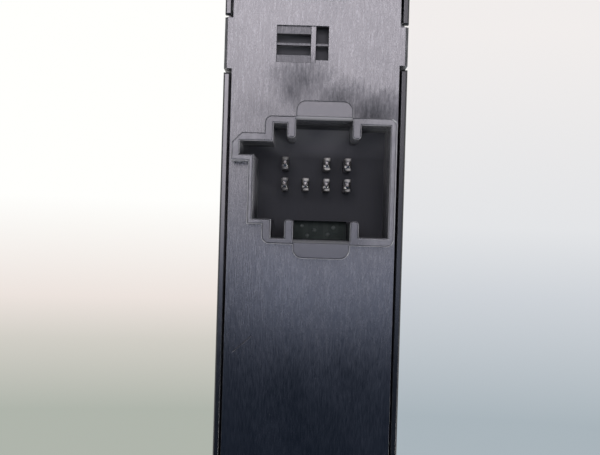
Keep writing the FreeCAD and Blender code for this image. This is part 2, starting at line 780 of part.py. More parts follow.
def symbol_lens():
    """Clear strip let into the rocker's top, with a stem that picks up the lamp's light."""
    roof = f"({crown_top} - rocker_roof - rocker_dip)"
    return block(*lens_span("0"), (f"{roof} - rocker_shell", f"{crown_top} - rocker_dip"), "symbol_lens")


def light_guide():
    """Clear rod from over the lamp to just under the rocker's lens, with a flange on the guide."""
    x = f"({rocker_x} + guide_rod_place)"
    start = f"({board_top} + led_high + led_gap)"
    stem = rod("Z", (x, "0", start), "guide_rod_radius",
               f"{axle_level} + guide_rod_above_axle - {start}", "guide_stem")
    flange = rod("Z", (x, "0", guide_top), "guide_rod_radius + guide_rod_flange",
                 "guide_rod_flange_thick", "guide_flange")
    return join([stem, flange], "light_guide")


def led():
    """Lamp on the board under the light guide."""
    x = f"({rocker_x} + guide_rod_place)"
    half = "led_size / 2"
    return block(about(x, half), about("0", half), (board_top, f"{board_top} + led_high"), "led")


def rocker_axle():
    """Steel pin through the rocker's ears and both housing walls."""
    return rod("Y", (rocker_x, f"-{housing_half} + axle_inset", axle_level), "axle_radius",
               f"2 * ({housing_half} - axle_inset)", "rocker_axle")


def bezel():
    """Top frame with the rocker's opening and the finger well in front of it."""
    reach_x = f"({housing_length} / 2 + bezel_end_flange)"
    reach_y = f"({housing_half} + bezel_side_flange)"
    plate = block(about("0", reach_x), about("0", reach_y), (bezel_low, bezel_top), "bezel_blank")
    corners = [(f"{end}{reach_x}", f"{side}{reach_y}") for end in ("", "-") for side in ("", "-")]
    plate = ease("Fillet", plate, SIZES["bezel_round"], upright_at(*corners), "bezel_plan")
    plate = ease("Fillet", plate, SIZES["bezel_edge"], lying_at(bezel_top), "bezel_soft")
    skirt_x = (f"{inner_west} + bezel_fit", f"{inner_east} - bezel_fit")
    skirt_y = f"({inner_half} - bezel_fit)"
    skirt_z = (f"{bezel_low} - bezel_skirt_high", bezel_low)
    skirt_room = block((f"{skirt_x[0]} + bezel_skirt", f"{skirt_x[1]} - bezel_skirt"),
                       about("0", f"{skirt_y} - bezel_skirt"), skirt_z, "skirt_room")
    ring = cut(block(skirt_x, about("0", skirt_y), skirt_z, "skirt_blank"), [skirt_room], "skirt")
    open_half = "(rocker_half_width + rocker_side_gap)"
    open_low = f"({rocker_x} - rocker_half_length - rocker_gap)"
    open_high = f"({rocker_x} + rocker_half_length + rocker_gap)"
    sill_low = f"({open_low} - well_wall)"
    well_end = f"({sill_low} - well_length)"
    well_floor = f"({bezel_top} - well_deep)"
    tray = block((f"{well_end} - well_wall", open_low), about("0", f"{open_half} + well_wall"),
                 (f"{well_floor} - well_wall", bezel_low), "well_blank")
    hollow = block((well_end, sill_low), about("0", open_half), (well_floor, bezel_top), "well_room")
    floor, far_end = number(well_floor), number(well_end)

    def far_floor_edge(edge):
        box = edge.BoundBox
        return box.YLength > NEAR and box.ZMax < floor + NEAR and box.XMax < far_end + NEAR
    hollow = ease("Fillet", hollow, SIZES["well_round"], far_floor_edge, "well_soft")
    sill = block((f"{sill_low} - well_wall", open_low), about("0", open_half),
                 (f"{bezel_top} - well_sill", bezel_top), "well_sill_room")
    opening = block((open_low, open_high), about("0", open_half), (bezel_low, bezel_top), "rocker_opening")
    return cut(join([plate, ring, tray], "bezel_body"), [hollow, sill, opening], "bezel")


def control_chip():
    """Chip on the board, with a row of legs along each side."""
    x = f"({inner_west} + chip_from_end)"
    half_x, half_y = "chip_length / 2", "chip_width / 2"
    parts = [block(about(x, half_x), about("0", half_y),
                   (f"{board_top} + chip_leg / 2", f"{board_top} + chip_high"), "chip_body")]
    for order in range(CHIP_LEGS):
        leg = f"({x} + ({order - (CHIP_LEGS - 1) / 2}) * chip_leg_pitch)"
        for side in (-1, 1):
            parts.append(block(about(leg, "chip_leg / 2"),
                               across(side, f"({half_y} - chip_leg)", f"({half_y} + chip_leg_reach)"),
                               (board_top, f"{board_top} + chip_leg"), "chip_leg"))
    return join(parts, "control_chip")


def resistors():
    """Row of small resistors between the chip and the plunger guide."""
    items = []
    x = f"({inner_west} + chip_from_end + chip_length / 2 + resistor_length)"
    for order in range(RESISTORS):
        y = f"(({order - (RESISTORS - 1) / 2}) * resistor_pitch)"
        items.append(block(about(x, "resistor_length / 2"), about(y, "resistor_width / 2"),
                           (board_top, f"{board_top} + resistor_high"), "resistor"))
    return group(items, "resistors")


def capacitors():
    """Pair of round capacitors at the end of the board away from the connector."""
    x = f"({inner_west} + board_end_gap + capacitor_from_end)"
    return group([rod("Z", (x, f"({side}) * capacitor_spread", board_top),
                      "capacitor_radius", "capacitor_high", "capacitor") for side in (-1, 1)], "capacitors")


lens_x = f"({rocker_x} + guide_rod_place)"

NODES = [bezel(), housing(), base_plate(), circuit_board(), terminal_block(), board_screws(),
         rocker(), rocker_axle(), symbol_lens(), light_guide(), led(), plunger_guide(),
         control_chip(), resistors(), capacitors()]
NODES += [terminal(order, x, y) for order, (x, y) in enumerate(blade_places(), start=1)]
for along, end in ((-1, "front"), (1, "rear")):
    NODES += [plunger(along, f"plunger_{end}"),
              contact_bridge(along, f"contact_bridge_{end}"),
              fixed_contacts(along, f"fixed_contacts_{end}"),
              plunger_spring(along, f"plunger_spring_{end}")]

doc.recompute()
for item in doc.Objects:
    if "Invalid" in item.State or "Error" in item.State:
        raise RuntimeError(f"{item.Label} failed: {item.State}")

os.makedirs("parts", exist_ok=True)
for item in NODES:
    shape = item.Shape
    if shape.isNull() or not shape.isValid() or not shape.Solids:
        raise RuntimeError(f"{item.Label} has no valid solid")
    shape.exportStep(f"parts/{item.Label}.step")
    box = shape.BoundBox
    print(f"{item.Label:24s} solids {len(shape.Solids):2d} volume {shape.Volume:9.2f}  "
          f"{box.XLength:6.2f} x {box.YLength:6.2f} x {box.ZLength:6.2f}")
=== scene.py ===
# %% [markdown]
# # Power window switch, seen from its connector side
#
# A window switch sits in a door panel. Only its bezel and rocker show there, but this lesson looks at it
# from below, where the wiring plug goes in: a flat plate of dark plastic, a keyed socket with seven
# tinned blades, and two snap lugs that hold the plate in the housing.
#
# The real shapes come from a imported model. This script gives each piece its finish, adds the solder and
# a grey sheet that stands in for shade behind the latch window, copies the two springs in place of the
# imported ones, and sets up the floor, the lamps and the camera. It starts with the tools and the
# imported pieces.

# %% Tools and the imported pieces
import math

import bmesh
import bpy
from mathutils import Matrix, Vector


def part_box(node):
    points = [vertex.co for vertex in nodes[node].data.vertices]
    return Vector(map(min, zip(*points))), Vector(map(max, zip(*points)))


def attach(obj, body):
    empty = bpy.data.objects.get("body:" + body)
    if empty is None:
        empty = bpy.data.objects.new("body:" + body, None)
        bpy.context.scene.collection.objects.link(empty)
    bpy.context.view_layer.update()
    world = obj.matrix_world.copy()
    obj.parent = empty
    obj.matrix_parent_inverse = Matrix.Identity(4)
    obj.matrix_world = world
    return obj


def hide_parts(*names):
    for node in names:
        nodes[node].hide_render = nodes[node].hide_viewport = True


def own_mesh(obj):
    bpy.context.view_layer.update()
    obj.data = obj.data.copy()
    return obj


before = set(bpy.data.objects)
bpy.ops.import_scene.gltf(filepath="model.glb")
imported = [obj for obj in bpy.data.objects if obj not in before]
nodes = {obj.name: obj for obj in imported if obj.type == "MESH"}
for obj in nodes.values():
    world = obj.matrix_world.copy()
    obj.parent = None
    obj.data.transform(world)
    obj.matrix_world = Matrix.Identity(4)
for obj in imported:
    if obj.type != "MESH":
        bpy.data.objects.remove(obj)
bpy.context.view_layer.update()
MM = 0.001
print("packed pieces:", len(nodes))

# %% [markdown]
# ## Levels that the pieces share
#
# The module stands on the rim of its socket, so height 0 is the face that a wiring plug stops against.
# The plate lies a few millimetres above it and the green board above that. The heights are read from the
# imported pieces, so that everything added here follows them if the module is made larger.

# %% Heights of the plate and the board
plate_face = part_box("housing")[0].z
board_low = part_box("circuit_board")[0].z
board_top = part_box("circuit_board")[1].z
print("plate face at", round(plate_face / MM, 2), "mm, board from", round(board_low / MM, 2), "mm")

# %% [markdown]
# ## Camera
#
# The picture looks straight up at the connector side. A camera looks along its own -Z axis, so its axes
# are written as the columns of a matrix: image right, image up, and the way back from the subject. The
# module leans a little to the right, so image up is not quite the module's long axis. Its distance and
# focal length set how much the socket's walls show, and were found from the size of the rim, which is
# near, and the plate, which is farther.

# %% Camera
CAMERA_PLACE = Vector((9.0, -1.34, -133.0)) * MM
LEAN = math.radians(1.67)
LENS = 68.2
SENSOR = 36.0


def add_camera():
    """The camera under the module, with the picture's lean, made the scene's own."""
    data = bpy.data.cameras.new("camera")
    data.lens = LENS
    data.sensor_width = SENSOR
    data.clip_start = 0.01
    camera = bpy.data.objects.new("camera", data)
    right = Vector((math.sin(LEAN), math.cos(LEAN), 0.0))
    up = Vector((math.cos(LEAN), -math.sin(LEAN), 0.0))
    turn = Matrix((right, up, right.cross(up))).transposed().to_4x4()
    camera.matrix_world = Matrix.Translation(CAMERA_PLACE) @ turn
    bpy.context.scene.collection.objects.link(camera)
    bpy.context.scene.camera = camera
    return camera


camera = add_camera()
bpy.context.scene.view_settings.view_transform = "Standard"
print("camera", round(-CAMERA_PLACE.z / MM), "mm below the socket's rim")

# %% [markdown]
# ## Short ways to write a material
#
# A finish is a small network of nodes. A few helpers keep the rest of the lesson short: one starts a
# material, one adds a node and fills its sockets with numbers or with links, and one maps a value from
# one range to another. Every pattern reads Object coordinates, in metres, so it stays on the piece when
# the piece moves.

# %% Material helpers
def start_finish(name):
    """A node material, and its shader."""
    finish = bpy.data.materials.new(name)
    finish.use_nodes = True
    return finish, finish.node_tree.nodes["Principled BSDF"]


def add(owner, kind, inputs=None, **settings):
    """Adds a shader node to a material, world or lamp. An input is a number, a colour or an output."""
    node = owner.node_tree.nodes.new("ShaderNode" + kind)
    for name, value in settings.items():
        setattr(node, name, value)
    fill(owner, node, inputs or {})
    return node


def fill(owner, node, inputs):
    """Sets a node's sockets, by name or number, to values or links them to outputs."""
    for name, value in inputs.items():
        if isinstance(value, bpy.types.NodeSocket):
            owner.node_tree.links.new(value, node.inputs[name])
        else:
            node.inputs[name].default_value = value


def spread(owner, value, low, high, start=0.0, end=1.0):
    """Maps a value between low and high to start and end, and holds it there outside them."""
    node = add(owner, "MapRange", {"Value": value, "From Min": low, "From Max": high,
                                   "To Min": start, "To Max": end})
    return node.outputs["Result"]


def calc(owner, operation, *values):
    """One operation on two or more values, from the first to the last."""
    result = values[0]
    for value in values[1:]:
        result = add(owner, "Math", {0: result, 1: value}, operation=operation).outputs["Value"]
    return result


def positive(owner, value):
    """A value without its sign."""
    return add(owner, "Math", {0: value}, operation="ABSOLUTE").outputs["Value"]


def parts_of(owner, vector):
    """The X, Y and Z of a vector."""
    return add(owner, "SeparateXYZ", {"Vector": vector}).outputs


def length_of(owner, vector):
    """How long a vector is."""
    return add(owner, "VectorMath", {0: vector}, operation="LENGTH").outputs["Value"]


def blend_colours(owner, share, first, second):
    """A colour between two, by share."""
    node = add(owner, "Mix", data_type="RGBA")
    fill(owner, node, {0: share, 6: first, 7: second})
    return node.outputs[2]


def shaded(owner, colour, share):
    """A colour made darker or lighter by a share."""
    return add(owner, "VectorMath", {0: colour[:3], "Scale": share}, operation="SCALE").outputs["Vector"]


def grey(level, tint=(1.0, 1.0, 1.0)):
    """A colour with its alpha, from a level and a tint."""
    return tuple(level * part for part in tint) + (1.0,)


# %% [markdown]
# ## Patterns that several finishes use
#
# Moulded plastic is never quite even. It has a fine grain from the mould, broad clouds where it was
# handled, and pale edges where it was rubbed. The grain and the clouds are noise at two sizes. The worn
# edge is found with a Bevel node: it gives the normal that the surface would have if its edges were
# rounded, and where that differs from the true normal, there is an edge.
#
# From here on, a pair of numbers says where a change starts and where it is complete. Three pairs come
# back in many finishes. Noise could reach from 0 to 1 but mostly stays in a narrower range. An edge
# starts where the two normals differ a little. A wall counts as facing one way when its normal points
# nearly along that axis.

# %% Pattern helpers
NOISE_RANGE = (0.3, 0.7)
EDGE_TURN = (0.02, 0.25)
WALL_TURN = (0.7, 0.9)


def place_of(finish, scale=(1.0, 1.0, 1.0), turn=(0.0, 0.0, 0.0), centre=(0.0, 0.0, 0.0)):
    """Object coordinates, centred, turned and stretched."""
    coords = add(finish, "TexCoord").outputs["Object"]
    moved = add(finish, "VectorMath", {0: coords, 1: centre}, operation="SUBTRACT").outputs["Vector"]
    node = add(finish, "Mapping", {"Vector": moved, "Rotation": turn, "Scale": scale})
    return node.outputs["Vector"]


def place_on(finish):
    """Where a point is on the piece, as X, Y and Z in metres."""
    return parts_of(finish, add(finish, "TexCoord").outputs["Object"])


def facing_of(finish):
    """Which way a face looks, as X, Y and Z from -1 to 1."""
    return parts_of(finish, add(finish, "NewGeometry").outputs["True Normal"])


def walls_facing(finish, part, sign, amount=1.0):
    """An amount on walls that face along an axis, or against it where the sign is -1, and else 0."""
    return spread(finish, part, sign * WALL_TURN[0], sign * WALL_TURN[1], 0.0, amount)


def noise(finish, size, detail=2.0, stretch=(1.0, 1.0, 1.0), seed=0.0):
    """Cloudy values from 0 to 1, with clouds of the given size in millimetres."""
    scale = tuple(part / (size * MM) for part in stretch)
    node = add(finish, "TexNoise", {"Vector": place_of(finish, scale), "W": seed, "Scale": 1.0,
                                    "Detail": detail}, noise_dimensions="4D")
    return node.outputs["Fac"]


def vary(finish, pattern, start, end):
    """Maps the range that a noise mostly fills to start and end."""
    return spread(finish, pattern, *NOISE_RANGE, start, end)


def rounded(finish, radius, samples=6):
    """The normal that the surface would have with edges rounded by a radius in millimetres."""
    return add(finish, "Bevel", {"Radius": radius * MM}, samples=samples).outputs["Normal"]


def edge_wear(finish, radius):
    """1 on sharp edges and 0 on flats, for edges about radius millimetres wide."""
    true = add(finish, "NewGeometry").outputs["Normal"]
    same = add(finish, "VectorMath", {0: rounded(finish, radius), 1: true}, operation="DOT_PRODUCT")
    return spread(finish, calc(finish, "SUBTRACT", 1.0, same.outputs["Value"]), *EDGE_TURN)


def relief(finish, height, depth, strength=1.0, normal=None):
    """A bump from a height of 0 to 1, depth millimetres deep."""
    inputs = {"Height": height, "Distance": depth * MM, "Strength": strength}
    if normal is not None:
        inputs["Normal"] = normal
    return add(finish, "Bump", inputs).outputs["Normal"]


# %% [markdown]
# ## Moulded plastic
#
# Most pieces are injection moulded. They share one recipe: a dark colour with clouds, paler worn edges,
# a roughness that varies a little, and a fine grain as bump. The numbers differ by piece, because a
# bezel that is touched each day has another grain than a guide that nobody sees.

# %% Moulded plastic
MOULDED_EDGE = 0.12


def moulded(name, colour, rough, grain=0.12, grain_depth=0.004, wear=0.25, soft_edge=True):
    """A moulded plastic with its colour, roughness, grain in millimetres and worn edges."""
    finish, shader = start_finish(name)
    tone = shaded(finish, colour, vary(finish, noise(finish, 6.0, detail=4.0), 0.86, 1.14))
    worn = calc(finish, "MULTIPLY", edge_wear(finish, MOULDED_EDGE), wear)
    pale = tuple(0.35 + 0.5 * part for part in colour) + (1.0,)
    patches = noise(finish, 2.5, detail=3.0, seed=3.0)
    soft = rounded(finish, MOULDED_EDGE) if soft_edge else None
    fill(finish, shader, {
        "Base Color": blend_colours(finish, worn, tone, pale),
        "Roughness": vary(finish, patches, rough - 0.05, rough + 0.05),
        "Normal": relief(finish, noise(finish, grain, detail=1.0, seed=7.0), grain_depth, 0.6, soft),
    })
    return finish


moulded_finishes = {
    "bezel": moulded("bezel_grain", (0.022, 0.023, 0.026), 0.46, grain=0.22, grain_depth=0.010),
    "rocker": moulded("rocker_soft_touch", (0.020, 0.021, 0.023), 0.52, grain=0.15, grain_depth=0.005),
    "plunger_guide": moulded("guide_natural", (0.56, 0.54, 0.49), 0.42, wear=0.05),
    "plunger": moulded("plunger_natural", (0.62, 0.60, 0.55), 0.38, wear=0.05),
    "terminal_block": moulded("comb_black", (0.03, 0.03, 0.032), 0.5),
}
print("moulded finishes:", len(moulded_finishes))

# %% [markdown]
# ## Marks on the plate
#
# The plate is the face that fills the picture. Between its latch window and its socket lie a few dull
# patches, and one short dark scratch runs across a corner. A point is in a patch when its distance from
# the middle, divided by how far the patch reaches, is below 1. Noise added to that distance makes the
# outline ragged. Each patch is given by its middle, its reach along and across the module, both in
# millimetres, and its strength. The scratch is a thin box in turned coordinates.

# %% Dull patches and a scratch
SMUDGES = [((22.9, 7.2, 4.5), (2.9, 4.2), 1.0), ((26.9, -1.6, 4.5), (3.5, 4.2), 0.66),
           ((25.5, -2.7, 4.5), (3.0, 2.2), 0.66), ((24.6, 3.2, 4.5), (2.6, 4.4), 0.74),
           ((23.0, -6.0, 4.5), (2.6, 3.8), 0.28)]
SMUDGE_FADE = (1.3, -0.1)
SMUDGE_RAGGED = 0.28
SCRATCH_PLACE = (-5.3, -8.0, 4.5)
SCRATCH_TURN = math.radians(48.0)
SCRATCH_LENGTH = 3.2 * MM
SCRATCH_WIDTH = 0.07 * MM


def smudges(finish):
    """1 in the dull patches on the plate, with ragged edges, and 0 elsewhere."""
    pattern = noise(finish, 0.40, detail=4.0, stretch=(0.35, 1.0, 1.0), seed=12.0)
    ragged = spread(finish, pattern, 0.25, 0.75, -SMUDGE_RAGGED, SMUDGE_RAGGED)
    total = 0.0
    for centre, halves, amount in SMUDGES:
        scale = tuple(1.0 / (half * MM) for half in halves) + (0.0,)
        local = place_of(finish, scale, centre=tuple(part * MM for part in centre))
        away = calc(finish, "ADD", length_of(finish, local), ragged)
        total = calc(finish, "MAXIMUM", total, spread(finish, away, *SMUDGE_FADE, 0.0, amount))
    return total


def scratch(finish):
    """1 along one short straight scratch on the plate, 0 elsewhere."""
    centre = tuple(part * MM for part in SCRATCH_PLACE)
    local = parts_of(finish, place_of(finish, turn=(0.0, 0.0, -SCRATCH_TURN), centre=centre))
    along = spread(finish, positive(finish, local["X"]), 0.5 * SCRATCH_LENGTH, 0.35 * SCRATCH_LENGTH)
    beside = spread(finish, positive(finish, local["Y"]), SCRATCH_WIDTH, 0.3 * SCRATCH_WIDTH)
    return calc(finish, "MULTIPLY", along, beside)


print("dull patches:", len(SMUDGES))

# %% [markdown]
# ## Wear and painted light on the plate and its socket
#
# The rim of the socket stands out furthest, so handling rubs it pale, most at its two sides. A paler
# ridge along its edge is a painted highlight, half as strong on edges that face the upper end. The left
# wall is painted pale, most near the rim, as painted light. The wall in the key slot and the right wall
# are painted paler too, as painted light where they lie in shade. Other sharp edges are worn pale, and
# the way they grow paler towards the latch window is painted light. All of this is found from height,
# place and the way a face looks, and noise makes it patchy.

# %% Wear and painted light on the plate
RIM = (0.35 * MM, 0.05 * MM)
HIGHLIGHT_RIDGE_LOW = (0.01 * MM, 0.05 * MM)
HIGHLIGHT_RIDGE_HIGH = (0.5 * MM, 0.15 * MM)
RIM_SIDES = (5.5 * MM, 7.0 * MM)
SOCKET_LEFT = (-4.0 * MM, -5.0 * MM)
SOCKET_RIGHT = (7.5 * MM, 8.0 * MM)
KEY_SLOT = (-7.5 * MM, -8.0 * MM)
KEY_SLOT_TOP = (18.0 * MM, 17.7 * MM)
PALER_TO_LIT_END = (-8.0 * MM, 6.0 * MM)
LIT_WALL_DEPTH = (0.3 * MM, 6.0 * MM)


def painted_light_walls(finish, place, facing):
    """Painted light on the wall in the key slot, and half as much on the right wall of the socket."""
    # Painted light: these walls lie in shade, and are painted pale instead.
    key_wall_light = calc(finish, "MULTIPLY", walls_facing(finish, facing["X"], -1.0),
                    spread(finish, place["Y"], *KEY_SLOT), spread(finish, place["X"], *KEY_SLOT_TOP))
    right_wall_light = calc(finish, "MULTIPLY", walls_facing(finish, facing["Y"], -1.0, 0.5),
                      spread(finish, place["Y"], *SOCKET_RIGHT))
    return calc(finish, "MAXIMUM", key_wall_light, right_wall_light)


def wear_and_painted_light(finish, place, facing, rim):
    """How far each point is made pale: worn rim and sharp edges, a painted highlight on the ridge, and
    painted light on two walls.
    """
    patchy = spread(finish, noise(finish, 1.2, detail=4.0, seed=9.0), 0.3, 0.65, 0.35, 1.0)
    # Sharp edges are worn pale; the way that grows towards the latch window is painted light.
    edges = calc(finish, "MULTIPLY", edge_wear(finish, 0.16),
                 spread(finish, place["X"], *PALER_TO_LIT_END, 0.04, 0.35))
    sides = spread(finish, positive(finish, place["Y"]), *RIM_SIDES, 0.0, 0.30)
    rubbed = calc(finish, "MAXIMUM", edges, calc(finish, "MULTIPLY", rim, sides))
    # Painted highlight: a pale ridge along the rim's edge, half as strong on edges that face the upper
    # end.
    painted_ridge_highlight = calc(finish, "MULTIPLY", spread(finish, place["Z"], *HIGHLIGHT_RIDGE_LOW),
                 spread(finish, place["Z"], *HIGHLIGHT_RIDGE_HIGH),
                 spread(finish, facing["X"], 0.1, 0.4, 1.0, 0.5))
    return calc(finish, "MAXIMUM", calc(finish, "MULTIPLY", rubbed, patchy), painted_ridge_highlight,
                painted_light_walls(finish, place, facing))


def painted_light_left_wall(finish, place, facing):
    """Painted light on the left wall of the socket, strongest near the rim."""
    # Painted light: the left wall is painted pale where light from the right falls on it, fading deeper
    # in.
    return calc(finish, "MULTIPLY", walls_facing(finish, facing["Y"], 1.0),
                spread(finish, place["Y"], *SOCKET_LEFT),
                spread(finish, place["Z"], *LIT_WALL_DEPTH, 1.0, 0.16))


# %% [markdown]
# ## Dust, fine rub marks and painted light
#
# Dust has settled deep in the socket. At the upper end, where the socket lies in shade, the same pale
# colour is painted light on the deep faces and on those that look sideways. Outside the socket, years of
# vibration and handling left a thin pale film of fine marks along the module; the way it grows stronger
# towards the latch window is a painted sheen. Two noises that are stretched along X, one more than the
# other, give long and short marks.

# %% Dust, rub marks and painted light on the plate
SOCKET_TOP = (21.4 * MM, 21.3 * MM)
IN_SOCKET = (0.6 * MM, 1.2 * MM)
FILL_DEPTH = (6.0 * MM, 6.3 * MM)
PAINTED_FILL_END = (17.0 * MM, 21.0 * MM)
SHEEN_ALONG = (-9.0 * MM, 14.0 * MM)


def dust_and_painted_fill(finish, place, facing, deep):
    """How far dust, and painted fill light at the upper end, cover each point of the socket."""
    fill_faces = calc(finish, "MAXIMUM", spread(finish, place["Z"], *FILL_DEPTH),
                     spread(finish, facing["Z"], -0.95, -0.8))
    # Painted light: at the shaded upper end, deep and sideways faces are painted pale to fill the shade.
    painted_fill_end = calc(finish, "MULTIPLY", spread(finish, place["Z"], *IN_SOCKET),
                     spread(finish, place["X"], *SOCKET_TOP), fill_faces,
                     spread(finish, place["X"], *PAINTED_FILL_END))
    return calc(finish, "MAXIMUM", painted_fill_end, calc(finish, "MULTIPLY", deep, 0.22))


def rub_marks_and_sheen(finish, along, rim, deep):
    """A thin pale film of fine marks, weak on the rim and absent deep in the socket, with a painted sheen
    that grows towards the latch window.
    """
    long_rubs = noise(finish, 0.20, stretch=(0.10, 1.0, 1.0), seed=14.0)
    short_rubs = noise(finish, 0.12, stretch=(0.4, 1.0, 1.0), seed=15.0)
    both = calc(finish, "ADD", calc(finish, "MULTIPLY", long_rubs, 0.5),
                calc(finish, "MULTIPLY", short_rubs, 0.5))
    # Painted sheen: the marks grow stronger along X, with the lamp's reflection on the plate.
    return calc(finish, "MULTIPLY", spread(finish, both, 0.46, 0.68),
                spread(finish, along, *SHEEN_ALONG, 0.0, 0.40), spread(finish, rim, 0.0, 1.0, 1.0, 0.15),
                spread(finish, deep, 0.0, 0.5, 1.0, 0.0))


# %% [markdown]
# ## The plate's finish
#
# The finish is built up in layers: the dark plastic first, then dust with painted fill light, rub marks
# with a painted sheen, worn places with painted highlights and painted light, painted light on the left
# wall, a few specks and the scratch. The plastic is glossy, and fine lines along the module vary its
# roughness and dent it a little. The dull patches, the rim and all that lies behind the face are
# rougher, the depth of the socket most.

# %% Finish of the plate and its socket
PLASTIC_IOR = 1.6
PLATE_COLOUR = grey(0.006, (0.78, 1.02, 1.62))
# Pale colour of dust, also used for painted fill light at the socket's upper end.
DUST_AND_FILL_COLOUR = grey(0.17, (0.95, 0.98, 1.06))
# Pale rub colour, also used for the painted sheen, painted highlights and painted light on the socket's
# walls.
SCUFF_AND_PAINTED_LIGHT = grey(0.24, (0.98, 0.98, 1.05))
# Pale colour of painted light on the socket's left wall and on the housing's inner left wall.
PALE_WALL_PAINTED_LIGHT = grey(0.50, (0.97, 0.98, 1.04))
SPECK = grey(0.4)
SCRATCH_COLOUR = grey(0.002)
DEEP = (6.5 * MM, 7.0 * MM)
DEEP_ROUGH = 0.8
SUNK = (plate_face + 0.2 * MM, plate_face + 0.4 * MM)
SUNK_ROUGH = 0.34
ON_FACE = (plate_face - 0.8 * MM, plate_face - 0.2 * MM)
SMUDGE_ROUGH = 0.42
SCRATCH_ROUGH = 0.3
RIM_ROUGH = 0.26


def plate_finish():
    """Dark plastic with lengthwise rub marks, worn rims, dust, specks and one scratch, with painted light,
    a painted sheen and painted highlights.
    """
    finish, shader = start_finish("plate_rubbed")
    place, facing = place_on(finish), facing_of(finish)
    rim = spread(finish, place["Z"], *RIM)
    deep = spread(finish, place["Z"], *DEEP, 0.0, DEEP_ROUGH)
    lines = noise(finish, 0.16, detail=3.0, stretch=(0.12, 1.0, 1.0), seed=1.0)
    broad = noise(finish, 5.0, detail=4.0, stretch=(0.5, 1.0, 1.0), seed=2.0)
    specks = spread(finish, noise(finish, 0.20, detail=1.0, seed=5.0), 0.78, 0.86)
    mark = scratch(finish)

    shade = calc(finish, "MULTIPLY", vary(finish, broad, 0.8, 1.2), vary(finish, lines, 0.75, 1.25))
    colour = shaded(finish, PLATE_COLOUR, shade)
    # Some layers are painted light: fill in the socket's shade, a sheen, highlights and lit walls.
    for share, layer in ((dust_and_painted_fill(finish, place, facing, deep), DUST_AND_FILL_COLOUR),
                         (rub_marks_and_sheen(finish, place["X"], rim, deep), SCUFF_AND_PAINTED_LIGHT),
                         (wear_and_painted_light(finish, place, facing, rim), SCUFF_AND_PAINTED_LIGHT),
                         (painted_light_left_wall(finish, place, facing), PALE_WALL_PAINTED_LIGHT),
                         (calc(finish, "MULTIPLY", specks, 0.25), SPECK),
                         (calc(finish, "MULTIPLY", mark, 0.9), SCRATCH_COLOUR)):
        colour = blend_colours(finish, share, colour, layer)

    on_face = spread(finish, place["Z"], *ON_FACE, 0.0, SMUDGE_ROUGH)
    rough = calc(finish, "ADD", spread(finish, lines, 0.25, 0.75, 0.12, 0.20),
                 vary(finish, broad, -0.02, 0.02), calc(finish, "MULTIPLY", smudges(finish), on_face),
                 calc(finish, "MULTIPLY", mark, SCRATCH_ROUGH))
    grooves = relief(finish, lines, 0.010, 1.0, rounded(finish, 0.07))
    fill(finish, shader, {
        "Base Color": colour,
        "Roughness": calc(finish, "MAXIMUM", rough, spread(finish, place["Z"], *SUNK, 0.0, SUNK_ROUGH),
                          deep, calc(finish, "MULTIPLY", rim, RIM_ROUGH)),
        "IOR": PLASTIC_IOR,
        "Normal": relief(finish, mark, -0.03, 0.5, grooves),
    })
    return finish


plate = plate_finish()
print("plate finish nodes:", len(plate.node_tree.nodes))

# %% [markdown]
# ## The housing's walls
#
# From below, the housing shows only as two narrow strips beside the plate. A Bevel node rounds their
# edges a little in the shading. The foot of the wall also slopes slightly: on the right outwards, which
# turns the mirrored lamp away, and on the left along the module, towards the brighter end of the lamp.
# That is why one strip is bright and the other dark. Only the foot is glossy. The outer walls keep
# the dull grain of the mould. Worn edges grow paler towards the upper end, which is painted light. The
# inner wall on the left is painted pale, more towards the upper end, as painted light in the gap beside
# the plate.

# %% Finish of the housing
FOOT_SLOPE = 0.08
FOOT_SLOPE_ALONG = 0.026
RIGHT_HALF = (-10.0 * MM, 10.0 * MM)
LEFT_HALF = (0.0, -10.0 * MM)
LEFT_GAP = (0.0, -8.0 * MM)
SLOPE_STARTS = (2.0 * MM, 12.0 * MM)
WEAR_PALER_TO_LIT_END = (-8.0 * MM, 10.0 * MM)
DULL_ENDS = (-8.0 * MM, 4.0 * MM)
GAP_LIGHTENS = (0.0, 10.0 * MM)
WALL_ROUGH = 0.44
HOUSING_COLOUR = grey(0.004, (0.90, 0.98, 1.18))
HOUSING_WEAR_AND_LIGHT = grey(0.2)


def foot_normal(finish, place):
    """The rounded normal, tipped outwards on the right and along the module on the left."""
    outwards = spread(finish, place["Y"], *RIGHT_HALF, 0.0, FOOT_SLOPE)
    along = calc(finish, "MULTIPLY", spread(finish, place["X"], *SLOPE_STARTS, 0.0, FOOT_SLOPE_ALONG),
                 spread(finish, place["Y"], *LEFT_HALF))
    tip = add(finish, "CombineXYZ", {"X": along, "Y": outwards}).outputs["Vector"]
    tipped = add(finish, "VectorMath", {0: rounded(finish, 0.08, samples=8), 1: tip}, operation="ADD")
    unit = add(finish, "VectorMath", {0: tipped.outputs["Vector"]}, operation="NORMALIZE")
    return unit.outputs["Vector"]


